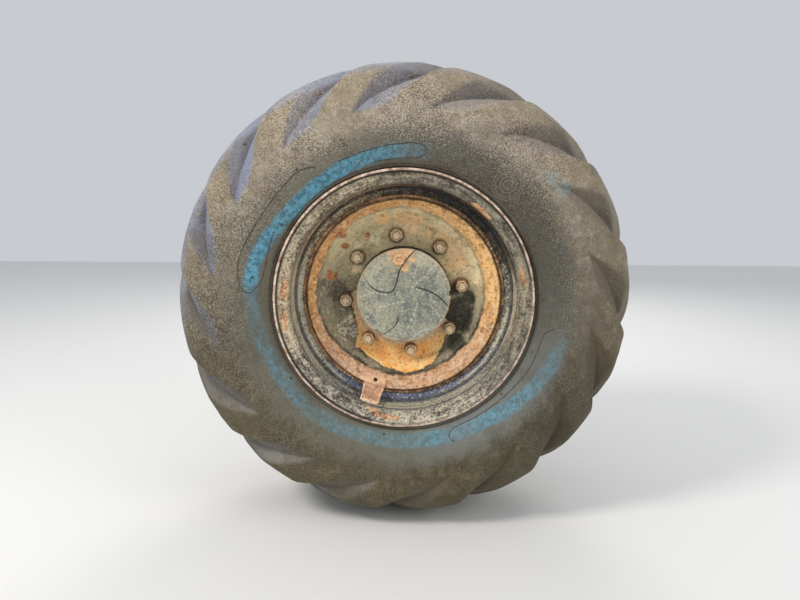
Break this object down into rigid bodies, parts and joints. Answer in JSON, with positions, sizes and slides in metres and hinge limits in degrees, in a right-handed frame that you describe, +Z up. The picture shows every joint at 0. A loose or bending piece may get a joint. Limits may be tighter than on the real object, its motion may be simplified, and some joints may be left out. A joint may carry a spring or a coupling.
{
  "type": "site dumper wheel on its axle end",
  "caption": "Worn lugged tyre on a dished steel wheel with a planetary hub, on the axle arm that carries it, with its half shaft.",
  "frame": {"origin": "centre of the bolt circle on the axle arm's inboard flange", "axes": "+Z up, +Y inboard along the axle, out of the arm's flange; the wheel's outer side faces -Y"},
  "size_m": [1.044, 0.68, 1.044],
  "materials": {
    "tyre": "worn, dusty rubber",
    "rim": "rolled steel, worn paint, mud and rust",
    "wheel_disc": "pressed steel, dull olive-grey paint with orange mud",
    "wheel_nuts": "rusty, muddy steel",
    "wheel_studs": "rusty steel",
    "hub": "cast, dusty",
    "hub_cover": "machined face, dusty blue-grey",
    "oil_plug": "steel with orange dust",
    "valve": "dull brass",
    "valve_guard": "bent plate with orange mud",
    "axle_arm": "cast, painted dark",
    "seal_ring": "moulded rubber, oily and dusty",
    "spindle": "ground steel",
    "half_shaft": "ground steel, oiled"
  },
  "bodies": {
    "axle_end": {"axle_arm": "axle_arm", "spindle": "spindle", "seal_ring": "seal_ring"},
    "wheel": {"tyre": "tyre", "rim": "rim", "wheel_disc": "wheel_disc", "wheel_nuts": "wheel_nuts", "wheel_studs": "wheel_studs", "hub": "hub", "hub_cover": "hub_cover", "oil_plug": "oil_plug", "valve": "valve", "valve_guard": "valve_guard"},
    "shaft": {"half_shaft": "half_shaft"}
  },
  "joints": [
    {"name": "wheel_spin", "type": "hinge", "parent": "axle_end", "child": "wheel", "pos_m": [0, -0.43, 0], "axis": [0, 1, 0], "continuous": true},
    {"name": "shaft_spin", "type": "hinge", "parent": "axle_end", "child": "shaft", "pos_m": [0, -0.2, 0], "axis": [0, 1, 0], "continuous": true}
  ],
  "couplings": [
    {"joint": "shaft_spin", "follows": "wheel_spin", "ratio": 6}
  ]
}
